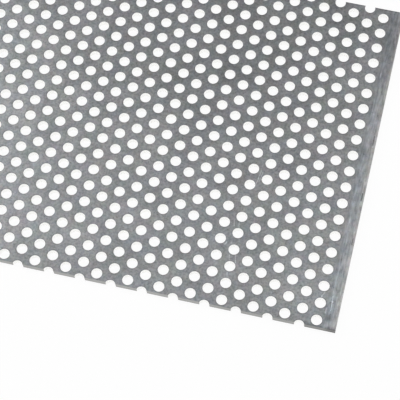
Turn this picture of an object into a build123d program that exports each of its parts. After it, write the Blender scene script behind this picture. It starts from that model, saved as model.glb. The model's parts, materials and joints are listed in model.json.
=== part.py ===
"""Flat steel sheet, punched all over with round holes in a staggered 60 degree pattern.

The punch leaves a plain border along the two short edges. The two long edges are sheared to size
after punching, so they run through the holes of every second column.

Origin: centre of the underside. X runs along the sheet, Y across it, Z is up.
"""

import os
from math import floor, radians, sin

from build123d import *

# Sheet, in mm
sheet_length = 150.0  # along X, between the short edges
sheet_width = 100.0  # along Y, between the sheared edges
sheet_thickness = 2.0
edge_round = 0.2  # drawn-over edge all round the upper face

# Perforation, in mm and degrees
hole_diameter = 3.0
hole_pitch = 5.0  # centre to centre, along a column and from column to column
stagger_angle = 60.0
plain_border = 4.0  # metal beyond the last rims: exact at the right edge, the least at the left
shear_inset = 0.6  # the near edge passes this far inside the centres of the holes that it cuts

hole_radius = hole_diameter / 2
column_step = hole_pitch * sin(radians(stagger_angle))


def hole_centres():
    """Centres of all holes, the cut ones included, column by column from the right edge."""
    last_column_x = sheet_length / 2 - plain_border - hole_radius
    first_column_x = -sheet_length / 2 + plain_border + hole_radius
    column_count = floor((last_column_x - first_column_x) / column_step) + 1
    cut_row_y = -sheet_width / 2 - shear_inset
    centres = []
    for column in range(column_count):
        # Columns start in turn half a pitch inside the row of cut holes, and in that row.
        y = cut_row_y if column % 2 else cut_row_y + hole_pitch / 2
        while y - hole_radius < sheet_width / 2:
            centres.append((last_column_x - column * column_step, y))
            y += hole_pitch
    return centres


with BuildPart() as perforated_sheet:
    with BuildSketch():
        Rectangle(sheet_length, sheet_width)
    extrude(amount=sheet_thickness)
    upper_face = perforated_sheet.faces().sort_by(Axis.Z)[-1]
    fillet(upper_face.edges(), radius=edge_round)

    with Locations(*hole_centres()):
        Hole(hole_radius)

perforated_sheet.part.label = "perforated_sheet"

os.makedirs("parts", exist_ok=True)
export_step(perforated_sheet.part, "parts/perforated_sheet.step")
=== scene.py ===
"""Perforated steel sheet, lying flat: its detailed mesh, its metal, and a plain light studio.

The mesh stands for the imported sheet. It has the same outline and the same holes, and adds what a
punch and a shear leave: drawn rims, walls that taper at the back, and drawn-over outer edges.
"""

import json
import math

import bmesh
import bpy
from mathutils import Matrix, Vector


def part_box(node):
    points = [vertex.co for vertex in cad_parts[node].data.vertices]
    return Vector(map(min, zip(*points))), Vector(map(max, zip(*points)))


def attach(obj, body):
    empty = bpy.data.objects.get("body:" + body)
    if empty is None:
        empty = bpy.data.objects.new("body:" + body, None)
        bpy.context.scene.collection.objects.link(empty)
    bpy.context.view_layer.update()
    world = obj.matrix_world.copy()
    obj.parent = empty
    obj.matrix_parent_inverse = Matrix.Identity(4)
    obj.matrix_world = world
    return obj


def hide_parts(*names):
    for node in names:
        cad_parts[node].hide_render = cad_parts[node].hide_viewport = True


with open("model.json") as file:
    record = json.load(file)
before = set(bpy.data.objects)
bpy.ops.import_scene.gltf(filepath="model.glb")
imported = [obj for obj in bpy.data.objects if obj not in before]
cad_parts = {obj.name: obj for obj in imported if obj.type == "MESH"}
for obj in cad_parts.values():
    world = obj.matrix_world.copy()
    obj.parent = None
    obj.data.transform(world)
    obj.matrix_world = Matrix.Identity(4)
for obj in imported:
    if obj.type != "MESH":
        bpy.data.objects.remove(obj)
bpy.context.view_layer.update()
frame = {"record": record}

MM = 0.001  # metres in a millimetre

# --- The sheet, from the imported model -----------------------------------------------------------

low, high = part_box("perforated_sheet")
corner_holes = next(mount for mount in frame["record"]["mounts"] if mount["name"] == "corner_holes")
hole_radius = corner_holes["dims"]["hole_r_mm"] * MM
# The hole of the corner pattern that lies nearest the right and near edges
anchor_x = corner_holes["pos_m"][0] + corner_holes["dims"]["spacing_x_mm"] / 2 * MM
anchor_y = corner_holes["pos_m"][1] - corner_holes["dims"]["spacing_y_mm"] / 2 * MM

hole_pitch = 5.0 * MM
column_step = hole_pitch * math.sqrt(3) / 2
plain_border = high.x - anchor_x - hole_radius

# What the punch leaves at each hole: a ring of metal drawn down, and a wall that tapers open
rim_width = 0.25 * MM
rim_depth = 0.04 * MM
rim_steps = (0.0, 45.0, 90.0)  # degrees round the quarter ellipse of a drawn rim
wall_taper = 0.06 * MM
segments = 24  # per hole, a multiple of the six sides of its cell

# What the shear leaves along the long edges, and the broken corner of the plain short ones
shear_width = 0.3 * MM
shear_depth = 0.08 * MM
shear_steps = (0.0, 30.0, 60.0, 90.0)
plain_width = 0.06 * MM
plain_depth = 0.12 * MM
tear_height = high.z - 0.6 * MM  # a cut wall is smooth above this, and below it the metal tore
torn_lean = 0.05 * MM  # how far a sheared edge falls back from there to the underside

# Points closer than these are one: along a border's outline, where cells meet, and on a cut
outline_gap = 0.01 * MM
weld_gap = 0.005 * MM
cut_gap = 0.001 * MM
sharp_angle = 50.0  # degrees between two faces, from which their edge stays sharp

# Slots of the sheet's materials
MILL, RIM, WALL, SHEARED = range(4)

# --- Metal --------------------------------------------------------------------------------------

mill_colour = (0.332, 0.342, 0.353)
tint_strength = (0.43, 0.24, 0.43)  # how far each channel wanders, so that grey turns blue or brown
rubbed_colour = (0.55, 0.56, 0.57, 1.0)  # fine light marks of handling
# The hole walls: near white, painted light standing for the bright floor shining in
wall_painted_light_colour = (0.95, 0.95, 0.93)
sheared_colour = (0.46, 0.46, 0.45)
rim_painted_shade = 0.77  # of the mill colour: painted shade on the ring that the punch drew down

# Roughness: the mill face and rims at the low and high end of their clouds, and cut metal where
# the tool slid and where it tore
face_roughness = (0.36, 0.44)
rim_roughness = (0.5, 0.58)
wall_roughness = (0.12, 0.25)
sheared_roughness = (0.3, 0.5)

# Relief: the strength of the bump and the height it stands for
face_relief = (0.15, 0.02 * MM)
cut_relief = (0.4, 0.03 * MM)

# Noises that are alike in every direction
cloud_noise = dict(size=11.0 * MM, detail=6.0, roughness=0.8)  # broad patches of the mill face
tint_noise = dict(size=5.0 * MM, detail=4.0, roughness=1.0)
grain_noise = dict(size=0.7 * MM, detail=5.0, roughness=0.6)
pit_noise = dict(size=0.45 * MM, detail=1.0)
handled_noise = dict(size=14.0 * MM)  # where the face was handled
ragged_noise = dict(size=0.5 * MM, detail=3.0)  # in the outlines of the marks
tear_noise = dict(size=0.25 * MM, detail=3.0)  # torn metal
tear_line_noise = dict(size=0.8 * MM)  # in the line where the tear starts

# Noises drawn out along an axis: their sizes along X, Y and Z
rolling_noise = dict(sizes=(0.05 * MM, 2.5 * MM, 2.5 * MM))  # fine lines from the mill's rolls
border_grain_noise = dict(sizes=(0.6 * MM, 2.4 * MM, 2.4 * MM), detail=5.0)
streak_noise = dict(sizes=(0.3 * MM, 12.0 * MM, 12.0 * MM), detail=3.0)  # along the plain borders
smear_noise = dict(sizes=(4.0 * MM, 1.0 * MM, 4.0 * MM), detail=3.0)  # across the plain borders
rubbed_noise = dict(sizes=(0.12 * MM, 4.0 * MM, 4.0 * MM))  # single marks of handling
slide_noise = dict(sizes=(0.15 * MM, 0.15 * MM, 2.0 * MM))  # lines where the tool slid
rubbed_directions = (12.0, -25.0)  # degrees from the sheet's Y axis

# Spans of a noise's values, which gather round a half, over which a pattern comes in
NARROW = (0.3, 0.7)
USUAL = (0.25, 0.75)
WIDE = (0.2, 0.8)
UPPER = (0.5, 0.65)
PEAKS = (0.66, 0.76)

# How bright each pattern makes the metal at the low and at the high end of its span
cloud_shades = (0.8, 1.2)
grain_shades = (0.57, 1.43)
rolling_shades = (0.93, 1.07)
pit_shades = (1.0, 0.65)
streak_shades = (0.86, 1.14)
smear_shades = (0.94, 1.06)
slide_shades = (0.88, 1.02)
tear_shades = (0.92, 1.06)
rubbed_strength = (0.0, 0.4)  # how much of the rubbed colour shows

tear_line_reach = 0.4 * MM  # how far the line where the tear starts wanders
tear_blend = 0.3 * MM  # the height over which smooth metal turns into torn

# Tones across a plain border, from the outermost holes (0) to the edge (1): paler and bluer across it,
# rising to a warm painted highlight near the edge
border_tones_and_edge_highlight = (
    (0.0, (1.0, 1.0, 1.0)),
    (0.2, (1.02, 1.05, 1.07)),
    (0.32, (1.09, 1.12, 1.16)),
    (0.5, (1.1, 1.12, 1.15)),
    (0.75, (1.19, 1.18, 1.18)),
    (0.88, (1.32, 1.28, 1.24)),
    (1.0, (1.43, 1.39, 1.33)),
)
tone_limit = 1.5  # the brightest tone that a colour ramp has to hold
tones_begin = (0.05, 0.3)  # the part of the border's width over which the tones come in
grain_turns = (0.0, 0.2)  # the part over which the grain is drawn out along the border

ragged_reach = 0.4 * MM  # how far the outlines of the marks wander
mark_fade = (0.1, 0.5)  # where a mark fades, from its middle line, in widths of the mark

# Scratches, dark dashes and smudges of the upper face: (from the right edge, from the near edge) of
# each end and the width, in mm, then how many times as bright as the metal round it
marks = (
    # Scratches and nicks
    ((2.56, 9.5), (2.32, 5.3), 0.3, 1.9),
    ((3.62, 5.8), (3.6, 4.3), 0.4, 1.8),
    ((4.9, 10.3), (5.6, 8.7), 0.36, 1.8),
    ((2.44, 18.5), (2.7, 10.0), 0.3, 1.3),
    ((2.6, 37.7), (2.5, 31.7), 0.3, 1.3),
    ((2.83, 77.6), (2.77, 79.0), 0.4, 1.7),
    ((29.4, 43.3), (29.3, 42.0), 0.3, 1.4),
    ((29.25, 41.9), (29.8, 37.7), 0.3, 1.9),
    ((28.8, 41.3), (29.1, 38.4), 0.26, 1.6),
    ((34.7, 51.8), (34.1, 49.9), 0.3, 1.5),
    ((33.3, 25.5), (33.0, 23.8), 0.32, 1.9),
    ((31.9, 25.2), (31.6, 23.6), 0.3, 1.7),
    ((32.4, 15.4), (32.1, 13.7), 0.3, 1.9),
    ((30.7, 15.7), (30.2, 13.1), 0.32, 1.9),
    ((31.8, 10.0), (31.5, 8.7), 0.3, 1.8),
    ((34.1, 18.0), (33.9, 18.7), 0.4, 1.9),
    ((32.6, 18.9), (32.6, 18.5), 0.4, 1.6),
    ((34.6, 18.4), (34.4, 17.9), 0.5, 1.5),
    ((30.8, 20.2), (30.6, 19.6), 0.45, 1.4),
    # Dark dashes and smudges
    ((0.72, 59.0), (0.72, 56.2), 0.5, 0.45),
    ((0.65, 41.0), (0.65, 38.8), 0.5, 0.4),
    ((0.6, 27.1), (0.62, 25.3), 0.5, 0.5),
    ((2.3, 3.6), (2.5, 2.9), 2.4, 0.7),
    ((1.3, 11.4), (1.5, 10.0), 1.4, 0.75),
    ((150.0, 0.3), (13.0, 0.3), 2.4, 0.95),
    ((8.5, 0.1), (0.0, -0.1), 1.7, 0.69),
    ((13.0, 2.5), (4.5, 3.0), 9.0, 0.91),
    ((2.0, -0.5), (0.0, -0.4), 2.6, 0.58),
    # Broad, soft patches
    ((1.6, 77.0), (1.6, 95.0), 7.0, 0.85),
    ((2.0, 44.0), (2.0, 70.0), 7.0, 1.08),
    ((30.0, 0.0), (14.0, 0.0), 16.0, 0.92),
    ((87.0, 59.5), (32.0, 72.0), 12.0, 0.91),
    ((84.0, 48.0), (80.0, 32.0), 14.0, 1.05),
    ((87.0, 3.0), (62.0, 6.0), 12.0, 0.93),
    ((36.0, 19.0), (33.0, 20.0), 11.0, 1.07),
    ((57.0, 52.0), (38.0, 56.0), 11.0, 0.96),
)

# --- Camera -------------------------------------------------------------------------------------

camera_azimuth = 15.33  # degrees that it looks from straight along +Y towards -X
camera_elevation = 65.28  # degrees above the horizon
camera_roll = -2.36  # degrees
camera_distance = 498.7 * MM
camera_lens = 163.2  # focal length for the sensor below, both in mm
camera_sensor = 36.0
camera_clip = 0.01  # metres, the nearest that it sees
aim_from_right = 43.84 * MM  # where it points, in from the right and near edges
aim_from_near = 29.29 * MM

# --- Light and floor ----------------------------------------------------------------------------

world_strength = 0.3  # on the metal; the camera sees plain white
# Soft boxes: place, side and power, in mm and watts
soft_boxes = (
    ((-290, 100, 320), 250, 0.77),
    ((300, 200, 360), 250, 0.47),
    ((290, 40, 420), 250, 0.46),
    ((30, 0, 620), 300, 0.285),
    ((-60, -380, 330), 250, 0.35),
)
floor_reach = 4.0  # metres from the middle to each side
floor_drop = 0.01 * MM  # keeps the floor clear of the underside
floor_colour = (0.9, 0.9, 0.9, 1.0)
floor_glow = 0.95  # share of the floor that shows plain white, the rest keeps the shadow
white = (1.0, 1.0, 1.0, 1.0)


def drawn_profile(width, depth, steps):
    """Pairs of distance in from the edge and drop below the face, down a quarter ellipse."""
    angles = [math.radians(step) for step in steps]
    return [(width * (1 - math.sin(a)), depth * (1 - math.cos(a))) for a in angles]


def cell_radius(angle):
    """Distance from a hole's centre to the side of its hexagonal cell."""
    sixth = math.radians(60)
    return hole_pitch / 2 / math.cos(angle % sixth - sixth / 2)


def column_centres():
    """Lists of hole centres, one list for each column, from the right edge to the left."""
    room = anchor_x - hole_radius - plain_border - low.x
    columns = []
    for column in range(int(room / column_step) + 1):
        y = anchor_y + (hole_pitch / 2 if column % 2 else 0.0)
        y -= math.ceil((y - low.y) / hole_pitch) * hole_pitch
        centres = []
        while y - hole_pitch / 2 < high.y:
            if y + hole_pitch / 2 > low.y:
                centres.append(Vector((anchor_x - column * column_step, y, 0.0)))
            y += hole_pitch
        columns.append(centres)
    return columns


def join_rows(bm, rows, materials, closed):
    """Quads between each row of vertices and the next, in the material given for that band."""
    for upper, lower, material in zip(rows, rows[1:], materials):
        count = len(upper)
        for i in range(count if closed else count - 1):
            j = (i + 1) % count
            face = bm.faces.new((upper[i], lower[i], lower[j], upper[j]))
            face.material_index = material


def add_cell(bm, centre):
    """One hole in its hexagonal cell: upper face, drawn rim, wall and underside."""
    angles = [2 * math.pi * i / segments for i in range(segments)]
    drawn = drawn_profile(rim_width, rim_depth, rim_steps)
    profile = [(hole_radius + inset, high.z - drop) for inset, drop in drawn]
    profile.append((hole_radius + wall_taper, low.z))
    rings = [[(cell_radius(a), high.z) for a in angles]]
    rings += [[(radius, z)] * segments for radius, z in profile]
    rings.append([(cell_radius(a), low.z) for a in angles])
    rows = []
    for ring in rings:
        row = []
        for angle, (radius, z) in zip(angles, ring):
            offset = Vector((radius * math.cos(angle), radius * math.sin(angle), z))
            row.append(bm.verts.new(centre + offset))
        rows.append(row)
    rims = [RIM] * (len(rim_steps) - 1)
    join_rows(bm, rows, [MILL] + rims + [WALL, MILL], closed=True)


def add_border(bm, centres, side):
    """The plain border beyond the outermost column, on the side +1 (right) or -1 (left)."""
    edge_x = high.x if side > 0 else low.x
    sixth = segments // 6
    outline = []
    for centre in centres:
        for i in range(-sixth, sixth + 1):
            angle = 2 * math.pi * i / segments
            reach = cell_radius(angle)
            point = (centre.x + side * reach * math.cos(angle), centre.y + reach * math.sin(angle))
            if not outline or point[1] > outline[-1][1] + outline_gap:
                outline.append(point)
    across = [(edge_x - side * plain_width, high.z), (edge_x, high.z - plain_depth), (edge_x, low.z)]
    rows = [[bm.verts.new((x, y, high.z)) for x, y in outline]]
    rows += [[bm.verts.new((x, y, z)) for _, y in outline] for x, z in across]
    rows.append([bm.verts.new((x, y, low.z)) for x, y in outline])
    join_rows(bm, rows, [MILL, MILL, SHEARED, MILL], closed=False)


def cut_across(bm, geom, place, normal, clear=False):
    """Cuts geometry along a plane and gives the new edges; clear drops what lies beyond the plane."""
    cut = bmesh.ops.bisect_plane(
        bm, geom=geom, dist=cut_gap, plane_co=place, plane_no=normal, clear_outer=clear
    )
    return [item for item in cut["geom_cut"] if isinstance(item, bmesh.types.BMEdge)]


def draw_edge_down(bm, edge_y):
    """Lowers the upper face, and the rims in it, towards a sheared edge."""
    for vert in bm.verts:
        inset = abs(edge_y - vert.co.y)
        if inset < shear_width and vert.co.z > high.z - 2 * shear_depth:
            along = 1 - inset / shear_width
            vert.co.z -= shear_depth * (1 - math.sqrt(max(0.0, 1 - along * along)))


def shear_edge(bm, edge_y, side):
    """Cuts the sheet off at edge_y, draws its upper edge down, and closes the cut with a torn face."""
    for inset, _ in drawn_profile(shear_width, shear_depth, shear_steps)[:-1]:
        everything = bm.verts[:] + bm.edges[:] + bm.faces[:]
        cut_across(bm, everything, (0, edge_y - side * inset, 0), (0, side, 0))
    everything = bm.verts[:] + bm.edges[:] + bm.faces[:]
    rim = cut_across(bm, everything, (0, edge_y, 0), (0, side, 0), clear=True)
    draw_edge_down(bm, edge_y)
    filled = bmesh.ops.triangle_fill(bm, use_beauty=True, edges=rim, normal=(0, side, 0))
    faces = [item for item in filled["geom"] if isinstance(item, bmesh.types.BMFace)]
    for face in faces:
        face.material_index = SHEARED
    edges = {edge for face in faces for edge in face.edges}
    verts = {vert for face in faces for vert in face.verts}
    cut_across(bm, list(verts) + list(edges) + faces, (0, 0, tear_height), (0, 0, 1))
    for vert in bm.verts:
        if abs(edge_y - vert.co.y) < cut_gap and vert.co.z < tear_height:
            vert.co.y -= side * torn_lean * (tear_height - vert.co.z) / (tear_height - low.z)


def new_material(name):
    """A material, its node tree and its shader."""
    material = bpy.data.materials.new(name)
    material.use_nodes = True
    return material, material.node_tree, material.node_tree.nodes["Principled BSDF"]


def node(tree, kind, inputs=None, **settings):
    """A node with its settings made, and each input given a value or linked to a socket."""
    made = tree.nodes.new("ShaderNode" + kind)
    for name, value in settings.items():
        setattr(made, name, value)
    for key, value in (inputs or {}).items():
        if isinstance(value, bpy.types.NodeSocket):
            tree.links.new(value, made.inputs[key])
        else:
            made.inputs[key].default_value = value
    return made


def noise(tree, place, size, detail=2.0, roughness=0.5, output="Fac"):
    """Noise that is alike in every direction."""
    inputs = {"Vector": place, "Scale": 1 / size, "Detail": detail, "Roughness": roughness}
    return node(tree, "TexNoise", inputs).outputs[output]


def stretched_noise(tree, place, sizes, detail=2.0, degrees=0.0):
    """Noise whose grain has its own size along each axis, turned about Z."""
    inputs = {"Vector": place, "Scale": sizes, "Rotation": (0.0, 0.0, math.radians(degrees))}
    mapped = node(tree, "Mapping", inputs, vector_type="TEXTURE").outputs[0]
    return noise(tree, mapped, 1.0, detail)


def math_node(tree, operation, *values):
    """The result of arithmetic on numbers."""
    return node(tree, "Math", dict(enumerate(values)), operation=operation).outputs[0]


def vector_node(tree, operation, *values):
    """The result of arithmetic on vectors or colours."""
    made = node(tree, "VectorMath", dict(enumerate(values)), operation=operation)
    return made.outputs["Value" if operation in ("DOT_PRODUCT", "DISTANCE") else "Vector"]


def scale_colour(tree, colour, factor):
    """A colour or a vector times a number."""
    return node(tree, "VectorMath", {0: colour, "Scale": factor}, operation="SCALE").outputs[0]


def spread(tree, value, ends=(0.0, 1.0), span=(0.0, 1.0)):
    """Maps the values of a span to those between two ends, and stops there."""
    inputs = {"Value": value, "From Min": span[0], "From Max": span[1], "To Min": ends[0], "To Max": ends[1]}
    return node(tree, "MapRange", inputs).outputs[0]


def shade_colour(tree, colour, pattern, shades, span):
    """A colour made darker and lighter by a pattern."""
    return scale_colour(tree, colour, spread(tree, pattern, shades, span))


def mix_values(tree, factor, first, second):
    """The first number where the factor is 0, and the second where it is 1."""
    return node(tree, "Mix", {0: factor, 2: first, 3: second}).outputs[0]


def mix_colours(tree, factor, first, second):
    """The first colour where the factor is 0, and the second where it is 1."""
    return node(tree, "Mix", {0: factor, 6: first, 7: second}, data_type="RGBA").outputs[2]


def finish_metal(tree, shader, colour, roughness, height, relief):
    """Gives a metal its colour, roughness and relief."""
    strength, distance = relief
    bump = node(tree, "Bump", {"Height": height, "Strength": strength, "Distance": distance})
    tree.links.new(colour, shader.inputs["Base Color"])
    tree.links.new(roughness, shader.inputs["Roughness"])
    tree.links.new(bump.outputs[0], shader.inputs["Normal"])
    shader.inputs["Metallic"].default_value = 1.0


def mark_mask(tree, place, start, end, width):
    """1 along the line from start to end, which fades out at half its width on every side."""
    run = end - start
    from_start = vector_node(tree, "SUBTRACT", place, start)
    along = vector_node(tree, "DOT_PRODUCT", from_start, run)
    share = spread(tree, along, span=(0.0, run.length_squared))
    off = vector_node(tree, "DISTANCE", from_start, scale_colour(tree, run, share))
    return spread(tree, off, (1.0, 0.0), [part * width for part in mark_fade])


def sheet_colour(tree, place, shade, clouds, grain):
    """The mill face away from its borders: tints, clouds, grain, rolling lines and pits."""
    # The noise is a half on average: the last term takes that out again.
    tint_offset = [1 - strength / 2 for strength in tint_strength]
    tints = noise(tree, place, output="Color", **tint_noise)
    tints = vector_node(tree, "MULTIPLY_ADD", tints, tint_strength, tint_offset)
    colour = vector_node(tree, "MULTIPLY", tints, [shade * channel for channel in mill_colour])
    colour = shade_colour(tree, colour, clouds, cloud_shades, WIDE)
    colour = shade_colour(tree, colour, grain, grain_shades, WIDE)
    rolling = stretched_noise(tree, place, **rolling_noise)
    colour = shade_colour(tree, colour, rolling, rolling_shades, NARROW)
    return shade_colour(tree, colour, noise(tree, place, **pit_noise), pit_shades, PEAKS)


def border_colour(tree, place, across, colour):
    """Paler, bluer metal on the plain borders, with a warm painted highlight along the edge, and streaks
    along and across.
    """
    ramp = node(tree, "ValToRGB", {0: across})
    stops = ramp.color_ramp.elements
    while len(stops) < len(border_tones_and_edge_highlight):
        stops.new(1.0)
    for stop, (position, tone) in zip(stops, border_tones_and_edge_highlight):
        stop.position = position
        stop.color = [channel / tone_limit for channel in tone] + [1.0]
    # Paler, bluer metal, brightening to a painted highlight near the edge
    pale_and_highlit = vector_node(tree, "MULTIPLY", colour, ramp.outputs[0])
    streaks = spread(tree, stretched_noise(tree, place, **streak_noise), streak_shades, NARROW)
    smears = spread(tree, stretched_noise(tree, place, **smear_noise), smear_shades, NARROW)
    shade = math_node(tree, "MULTIPLY", streaks, smears)
    pale_and_highlit = scale_colour(tree, pale_and_highlit, math_node(tree, "MULTIPLY", shade, tone_limit))
    return mix_colours(tree, spread(tree, across, span=tones_begin), colour, pale_and_highlit)


def handled_colour(tree, place, colour):
    """Fine light marks of handling, crossing each other in patches."""
    handled = spread(tree, noise(tree, place, **handled_noise), span=UPPER)
    for degrees in rubbed_directions:
        lines = stretched_noise(tree, place, degrees=degrees, **rubbed_noise)
        lines = math_node(tree, "MULTIPLY", spread(tree, lines, rubbed_strength, PEAKS), handled)
        colour = mix_colours(tree, lines, colour, rubbed_colour)
    return colour


def marked_colour(tree, place, colour, down_the_edge):
    """The single scratches, dashes and smudges, on the upper face or carried on down the edge."""
    ragged = noise(tree, place, output="Color", **ragged_noise)
    reach = Vector((ragged_reach, ragged_reach, 0.0))
    # The noise is a half on average: the last term takes that out again.
    moved = vector_node(tree, "MULTIPLY_ADD", ragged, reach, -reach / 2)
    depth = 0.0 if down_the_edge else 1.0
    level = vector_node(tree, "MULTIPLY_ADD", place, (1.0, 1.0, depth), moved)
    for start, end, width, tone in marks:
        ends = [Vector((high.x - x * MM, low.y + y * MM, high.z * depth)) for x, y in (start, end)]
        mask = mark_mask(tree, level, *ends, width * MM)
        colour = scale_colour(tree, colour, math_node(tree, "MULTIPLY_ADD", mask, tone - 1, 1.0))
    return colour


def mill_steel(name, shade, roughness):
    """Dull rolled steel, whose clouds also change how rough it is."""
    material, tree, shader = new_material(name)
    place = node(tree, "TexCoord").outputs["Object"]
    from_middle = math_node(tree, "ABSOLUTE", node(tree, "SeparateXYZ", {0: place}).outputs["X"])
    across = spread(tree, from_middle, span=(high.x - plain_border, high.x))
    clouds = noise(tree, place, **cloud_noise)
    grain = noise(tree, place, **grain_noise)
    drawn_out = stretched_noise(tree, place, **border_grain_noise)
    grain = mix_values(tree, spread(tree, across, span=grain_turns), grain, drawn_out)
    colour = sheet_colour(tree, place, shade, clouds, grain)
    colour = border_colour(tree, place, across, colour)
    colour = handled_colour(tree, place, colour)
    colour = marked_colour(tree, place, colour, down_the_edge=False)
    finish_metal(tree, shader, colour, spread(tree, clouds, roughness, NARROW), grain, face_relief)
    return material


def cut_metal(name, colour, roughness, marked):
    """A cut wall: smooth where the tool slid, rough where the metal tore; marked carries smudges on."""
    material, tree, shader = new_material(name)
    place = node(tree, "TexCoord").outputs["Object"]
    height = node(tree, "SeparateXYZ", {0: place}).outputs["Z"]
    wandering = noise(tree, place, **tear_line_noise)
    level = math_node(tree, "MULTIPLY_ADD", wandering, tear_line_reach, height)
    torn = spread(tree, level, (1.0, 0.0), (tear_height, tear_height + tear_blend))
    slides = stretched_noise(tree, place, **slide_noise)
    tears = noise(tree, place, **tear_noise)
    slid_shade = spread(tree, slides, slide_shades, USUAL)
    torn_shade = spread(tree, tears, tear_shades, USUAL)
    painted = scale_colour(tree, colour, mix_values(tree, torn, slid_shade, torn_shade))
    if marked:
        painted = marked_colour(tree, place, painted, down_the_edge=True)
    torn_height = math_node(tree, "MULTIPLY", tears, torn)
    finish_metal(tree, shader, painted, spread(tree, torn, roughness), torn_height, cut_relief)
    return material


def mill_face():
    """The rolled steel of both faces."""
    return mill_steel("mill_steel", 1.0, face_roughness)


def drawn_rim_painted_shade():
    """The same steel where the punch drew it down: duller, and a little darker with painted shade."""
    return mill_steel("drawn_rim_painted_shade", rim_painted_shade, rim_roughness)


def punched_wall_painted_light():
    """The walls of the holes, painted near white: painted light, as if the bright floor flooded them."""
    return cut_metal("punched_wall_painted_light", wall_painted_light_colour, wall_roughness, marked=False)


def sheared_edge():
    """The cut all round the sheet."""
    return cut_metal("sheared_edge", sheared_colour, sheared_roughness, marked=True)


def make_sheet():
    """The whole sheet as one closed mesh."""
    bm = bmesh.new()
    columns = column_centres()
    for centres in columns:
        for centre in centres:
            add_cell(bm, centre)
    add_border(bm, columns[0], side=1)
    add_border(bm, columns[-1], side=-1)
    bmesh.ops.remove_doubles(bm, verts=bm.verts[:], dist=weld_gap)
    shear_edge(bm, low.y, side=-1)
    shear_edge(bm, high.y, side=1)
    bmesh.ops.recalc_face_normals(bm, faces=bm.faces[:])
    mesh = bpy.data.meshes.new("perforated_sheet_detailed")
    bm.to_mesh(mesh)
    bm.free()
    mesh.shade_smooth()
    mesh.set_sharp_from_angle(angle=math.radians(sharp_angle))
    for material in (mill_face(), drawn_rim_painted_shade(), punched_wall_painted_light(), sheared_edge()):
        mesh.materials.append(material)
    sheet = bpy.data.objects.new("sheet_with_drawn_rims", mesh)
    bpy.context.scene.collection.objects.link(sheet)
    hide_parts("perforated_sheet")
    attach(sheet, "root")


def make_camera():
    """The camera, aimed at a point of the sheet's upper face near its right corner."""
    aim = Vector((high.x - aim_from_right, low.y + aim_from_near, high.z))
    azimuth, elevation = math.radians(camera_azimuth), math.radians(camera_elevation)
    back = Vector((
        math.sin(azimuth) * math.cos(elevation),
        -math.cos(azimuth) * math.cos(elevation),
        math.sin(elevation),
    ))
    data = bpy.data.cameras.new("camera")
    data.sensor_width = camera_sensor
    data.lens = camera_lens
    data.clip_start = camera_clip
    camera = bpy.data.objects.new("camera", data)
    turn = back.to_track_quat("Z", "Y").to_matrix() @ Matrix.Rotation(math.radians(camera_roll), 3, "Z")
    camera.matrix_world = Matrix.LocRotScale(aim + back * camera_distance, turn.to_quaternion(), None)
    bpy.context.scene.collection.objects.link(camera)
    bpy.context.scene.camera = camera


def make_floor():
    """A pale floor, white to the camera and in the metal, that keeps the sheet's shadow."""
    mesh = bpy.data.meshes.new("floor")
    near, far = -floor_reach, floor_reach
    corners = [(near, near), (far, near), (far, far), (near, far)]
    mesh.from_pydata([(x, y, low.z - floor_drop) for x, y in corners], [], [(0, 1, 2, 3)])
    floor = bpy.data.objects.new("floor", mesh)
    bpy.context.scene.collection.objects.link(floor)
    material = bpy.data.materials.new("white_floor")
    material.use_nodes = True
    tree = material.node_tree
    tree.nodes.clear()
    rays = node(tree, "LightPath").outputs
    paint = node(tree, "BsdfDiffuse", {"Color": floor_colour}).outputs[0]
    glow = node(tree, "Emission", {"Strength": 1.0}).outputs[0]
    share = math_node(tree, "MULTIPLY", rays["Is Camera Ray"], floor_glow)
    share = math_node(tree, "MAXIMUM", share, rays["Is Glossy Ray"])
    mixed = node(tree, "MixShader", {0: share, 1: paint, 2: glow}).outputs[0]
    node(tree, "OutputMaterial", {"Surface": mixed})
    mesh.materials.append(material)


def make_world():
    """Even light all round, which the camera sees as plain white."""
    world = bpy.data.worlds.new("studio")
    world.use_nodes = True
    tree = world.node_tree
    background = tree.nodes["Background"]
    background.inputs["Color"].default_value = white
    seen = node(tree, "LightPath").outputs["Is Camera Ray"]
    tree.links.new(spread(tree, seen, (world_strength, 1.0)), background.inputs["Strength"])
    bpy.context.scene.world = world


def make_lights():
    """The soft boxes, each turned to the middle of the sheet."""
    for place, side, power in soft_boxes:
        data = bpy.data.lights.new("soft_box", "AREA")
        data.shape = "SQUARE"
        data.size = side * MM
        data.energy = power
        lamp = bpy.data.objects.new("soft_box", data)
        place = Vector(place) * MM
        lamp.matrix_world = Matrix.LocRotScale(place, place.to_track_quat("Z", "Y"), None)
        lamp.visible_camera = False
        bpy.context.scene.collection.objects.link(lamp)


bpy.context.scene.view_settings.view_transform = "Standard"
make_sheet()
make_floor()
make_world()
make_lights()
make_camera()
